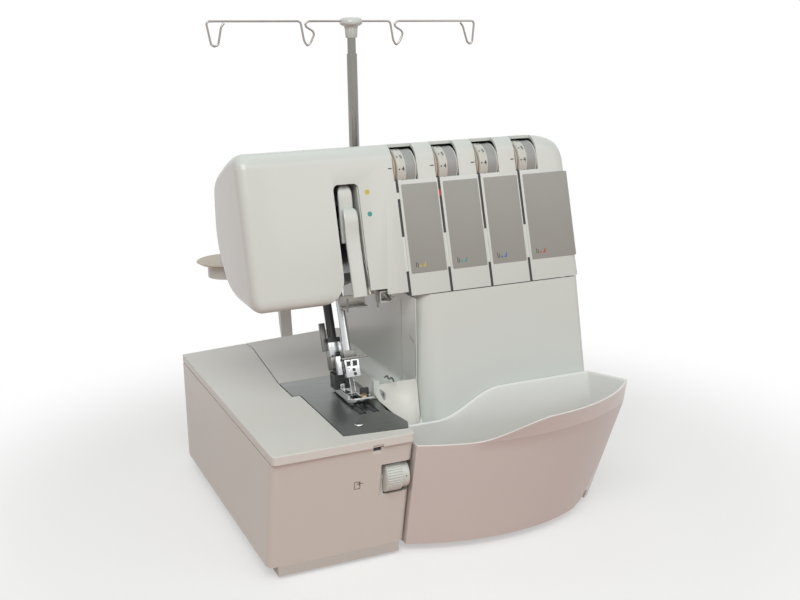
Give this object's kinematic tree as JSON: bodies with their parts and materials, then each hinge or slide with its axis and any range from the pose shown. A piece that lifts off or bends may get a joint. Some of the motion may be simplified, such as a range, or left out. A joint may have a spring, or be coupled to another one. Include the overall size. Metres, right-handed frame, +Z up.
{
  "type": "serger overlock machine",
  "caption": "Free-standing overlock sewing machine with a telescopic thread stand, tension dials, hinged looper cover and a waste tray.",
  "frame": {"origin": "centre of the footprint on the surface that the machine stands on", "axes": "+X to the right along the bed, +Y to the back (spool stand), +Z up"},
  "size_m": [0.315, 0.3233, 0.4054],
  "materials": {
    "cover_plastic": "smooth moulded white plastic, slight gloss",
    "bed_plastic": "smooth moulded white plastic, slight gloss",
    "tray_plastic": "smooth moulded white plastic",
    "base_plastic": "fine-grained white plastic",
    "cast_frame": "die-cast, sand finish",
    "steel": "ground and polished",
    "stitch_steel": "satin grey steel",
    "black_steel": "black, satin",
    "bronze": "sintered bronze",
    "rubber": "matt black",
    "black_plastic": "matt black",
    "board": "green circuit board",
    "grey_plastic": "matt grey plastic",
    "dial_plastic": "white plastic with a grey ribbed rim",
    "disc_plastic": "cream plastic",
    "lamp_plastic": "milky lamp cover",
    "mast_metal": "satin drawn tube"
  },
  "bodies": {
    "machine": {"base_pan": "base_plastic", "rubber_feet": "rubber", "machine_frame": "cast_frame", "bed_shell": "bed_plastic", "bed_deck": "bed_plastic", "stitch_plate": "stitch_steel", "screws": "steel", "lower_knife": "steel", "tower_shell": "cover_plastic", "side_cover": "cover_plastic", "head_shell": "cover_plastic", "tension_plates": "grey_plastic", "tension_units": "steel", "thread_guides": "steel", "bushes": "bronze", "presser_spring": "steel", "motor": "black_steel", "motor_bracket": "steel", "drive_belt": "rubber", "circuit_board": "board", "power_inlet": "black_plastic", "lamp": "lamp_plastic", "spool_bar": "cover_plastic", "spool_pins": "cover_plastic", "spool_discs": "disc_plastic", "mast_base": "mast_metal"},
    "main_shaft": {"main_shaft": "steel", "drive_pulley": "cast_frame", "handwheel": "cover_plastic"},
    "motor_pulley": {"motor_pulley": "steel"},
    "rocker": {"rocker_shaft": "steel"},
    "connecting_rod": {"connecting_rod": "steel"},
    "needle_bar": {"needle_bar": "steel", "needle_clamp": "steel", "needles": "steel"},
    "take_ups": {"take_up_front": "cover_plastic", "take_up_back": "cover_plastic"},
    "upper_looper": {"upper_looper": "steel"},
    "lower_looper": {"lower_looper": "steel"},
    "upper_knife": {"upper_knife": "steel"},
    "feed_main": {"feed_dog_main": "steel"},
    "feed_diff": {"feed_dog_diff": "steel"},
    "presser_bar": {"presser_bar": "black_steel"},
    "presser_foot": {"presser_foot": "steel"},
    "presser_lifter": {"presser_lifter": "cover_plastic"},
    "tension_dial_1": {"tension_dial_1": "dial_plastic"},
    "tension_dial_2": {"tension_dial_2": "dial_plastic"},
    "tension_dial_3": {"tension_dial_3": "dial_plastic"},
    "tension_dial_4": {"tension_dial_4": "dial_plastic"},
    "width_dial": {"cutting_width_dial": "dial_plastic"},
    "length_dial": {"stitch_length_dial": "dial_plastic"},
    "feed_ratio_dial": {"differential_dial": "dial_plastic"},
    "cover_slide": {"cover_rod": "steel"},
    "looper_cover": {"looper_cover": "cover_plastic"},
    "cloth_plate": {"cloth_plate": "bed_plastic"},
    "waste_tray": {"waste_tray": "tray_plastic"},
    "mast_upper": {"mast_upper": "mast_metal"},
    "thread_tree": {"thread_tree": "mast_metal"},
    "power_switch": {"power_switch": "black_plastic"},
    "lid_release": {"lid_release": "black_plastic"}
  },
  "joints": [
    {"name": "handwheel_turn", "type": "hinge", "parent": "machine", "child": "main_shaft", "pos_m": [0.0425, 0.01, 0.06], "axis": [1, 0, 0], "continuous": true},
    {"name": "motor_pulley_turn", "type": "hinge", "parent": "machine", "child": "motor_pulley", "pos_m": [0.1195, 0.062, 0.06], "axis": [1, 0, 0], "continuous": true},
    {"name": "needle_bar_stroke", "type": "slide", "parent": "machine", "child": "needle_bar", "axis": [0, 0.342, 0.9397], "range_m": [-0.012, 0.01]},
    {"name": "rocker_swing", "type": "hinge", "parent": "machine", "child": "rocker", "pos_m": [0.0425, 0.028, 0.232], "axis": [1, 0, 0], "range_deg": [-22.5, 27]},
    {"name": "connecting_rod_stroke", "type": "slide", "parent": "machine", "child": "connecting_rod", "axis": [0, -0.1115, 0.9938], "range_m": [-0.021, 0.0175]},
    {"name": "take_up_swing", "type": "hinge", "parent": "machine", "child": "take_ups", "pos_m": [-0.0765, 0.028, 0.232], "axis": [1, 0, 0], "range_deg": [-8.5, 8.5]},
    {"name": "upper_looper_swing", "type": "hinge", "parent": "machine", "child": "upper_looper", "pos_m": [-0.0515, -0.052, 0.042], "axis": [0, -1, 0], "range_deg": [0, 12]},
    {"name": "lower_looper_swing", "type": "hinge", "parent": "machine", "child": "lower_looper", "pos_m": [-0.0815, -0.041, 0.042], "axis": [0, 1, 0], "range_deg": [0, 10]},
    {"name": "upper_knife_stroke", "type": "slide", "parent": "machine", "child": "upper_knife", "axis": [0, 0, 1], "range_m": [-0.006, 0.004]},
    {"name": "main_feed_stroke", "type": "slide", "parent": "machine", "child": "feed_main", "axis": [0, 1, 0], "range_m": [-0.002, 0.002]},
    {"name": "differential_feed_stroke", "type": "slide", "parent": "machine", "child": "feed_diff", "axis": [0, 1, 0], "range_m": [-0.002, 0.002]},
    {"name": "presser_bar_lift", "type": "slide", "parent": "machine", "child": "presser_bar", "axis": [0, 0.342, 0.9397], "range_m": [0, 0.005], "deforming": ["presser_spring"]},
    {"name": "presser_foot_tilt", "type": "hinge", "parent": "presser_bar", "child": "presser_foot", "pos_m": [-0.0679, -0.024, 0.1178], "axis": [1, 0, 0], "range_deg": [-4, 2]},
    {"name": "presser_lifter_turn", "type": "hinge", "parent": "machine", "child": "presser_lifter", "pos_m": [-0.1015, 0.012, 0.209], "axis": [1, 0, 0], "range_deg": [0, 50.5]},
    {"name": "tension_dial_1_turn", "type": "hinge", "parent": "machine", "child": "tension_dial_1", "pos_m": [-0.0155, -0.0245, 0.2885], "axis": [1, 0, 0], "range_deg": [-135, 135]},
    {"name": "tension_dial_2_turn", "type": "hinge", "parent": "machine", "child": "tension_dial_2", "pos_m": [0.0207, -0.0245, 0.2885], "axis": [1, 0, 0], "range_deg": [-135, 135]},
    {"name": "tension_dial_3_turn", "type": "hinge", "parent": "machine", "child": "tension_dial_3", "pos_m": [0.0569, -0.0245, 0.2885], "axis": [1, 0, 0], "range_deg": [-135, 135]},
    {"name": "tension_dial_4_turn", "type": "hinge", "parent": "machine", "child": "tension_dial_4", "pos_m": [0.0931, -0.0245, 0.2885], "axis": [1, 0, 0], "range_deg": [-135, 135]},
    {"name": "cutting_width_turn", "type": "hinge", "parent": "machine", "child": "width_dial", "pos_m": [-0.063, -0.1108, 0.072], "axis": [1, 0, 0], "range_deg": [-150, 150]},
    {"name": "stitch_length_turn", "type": "hinge", "parent": "machine", "child": "length_dial", "pos_m": [0.1325, -0.003, 0.158], "axis": [1, 0, 0], "range_deg": [-130, 130]},
    {"name": "differential_turn", "type": "hinge", "parent": "machine", "child": "feed_ratio_dial", "pos_m": [0.1325, 0.044, 0.158], "axis": [1, 0, 0], "range_deg": [-130, 130]},
    {"name": "looper_cover_shift", "type": "slide", "parent": "machine", "child": "cover_slide", "axis": [1, 0, 0], "range_m": [0, 0.008]},
    {"name": "looper_cover_open", "type": "hinge", "parent": "cover_slide", "child": "looper_cover", "pos_m": [0.0425, -0.07236, 0.123], "axis": [1, 0, 0], "range_deg": [0, 65]},
    {"name": "cloth_plate_swing", "type": "hinge", "parent": "machine", "child": "cloth_plate", "pos_m": [-0.1475, 0.136, 0.1], "axis": [0, 0, -1], "range_deg": [0, 80]},
    {"name": "waste_tray_pull", "type": "slide", "parent": "machine", "child": "waste_tray", "axis": [0, -1, 0], "range_m": [0, 0.12]},
    {"name": "mast_lower", "type": "slide", "parent": "machine", "child": "mast_upper", "axis": [0, 0, 1], "range_m": [-0.085, 0]},
    {"name": "thread_tree_turn", "type": "hinge", "parent": "mast_upper", "child": "thread_tree", "pos_m": [0.0041, 0.1115, 0.4], "axis": [0, 0, 1], "range_deg": [-30, 30]},
    {"name": "power_switch_rock", "type": "hinge", "parent": "machine", "child": "power_switch", "pos_m": [0.1295, 0.122, 0.072], "axis": [0, 1, 0], "range_deg": [-7, 7]},
    {"name": "lid_release_press", "type": "slide", "parent": "machine", "child": "lid_release", "axis": [0, 1, 0], "range_m": [0, 0.0015], "stiffness_N_per_m": 300}
  ],
  "couplings": [
    {"joint": "motor_pulley_turn", "follows": "handwheel_turn", "ratio": 3.5},
    {"joint": "rocker_swing", "follows": "needle_bar_stroke", "rad_per_m": -37.864},
    {"joint": "connecting_rod_stroke", "follows": "needle_bar_stroke", "ratio": 1.6765},
    {"joint": "take_up_swing", "follows": "needle_bar_stroke", "rad_per_m": -11.6},
    {"joint": "presser_lifter_turn", "follows": "presser_bar_lift", "rad_per_m": 174.53}
  ]
}
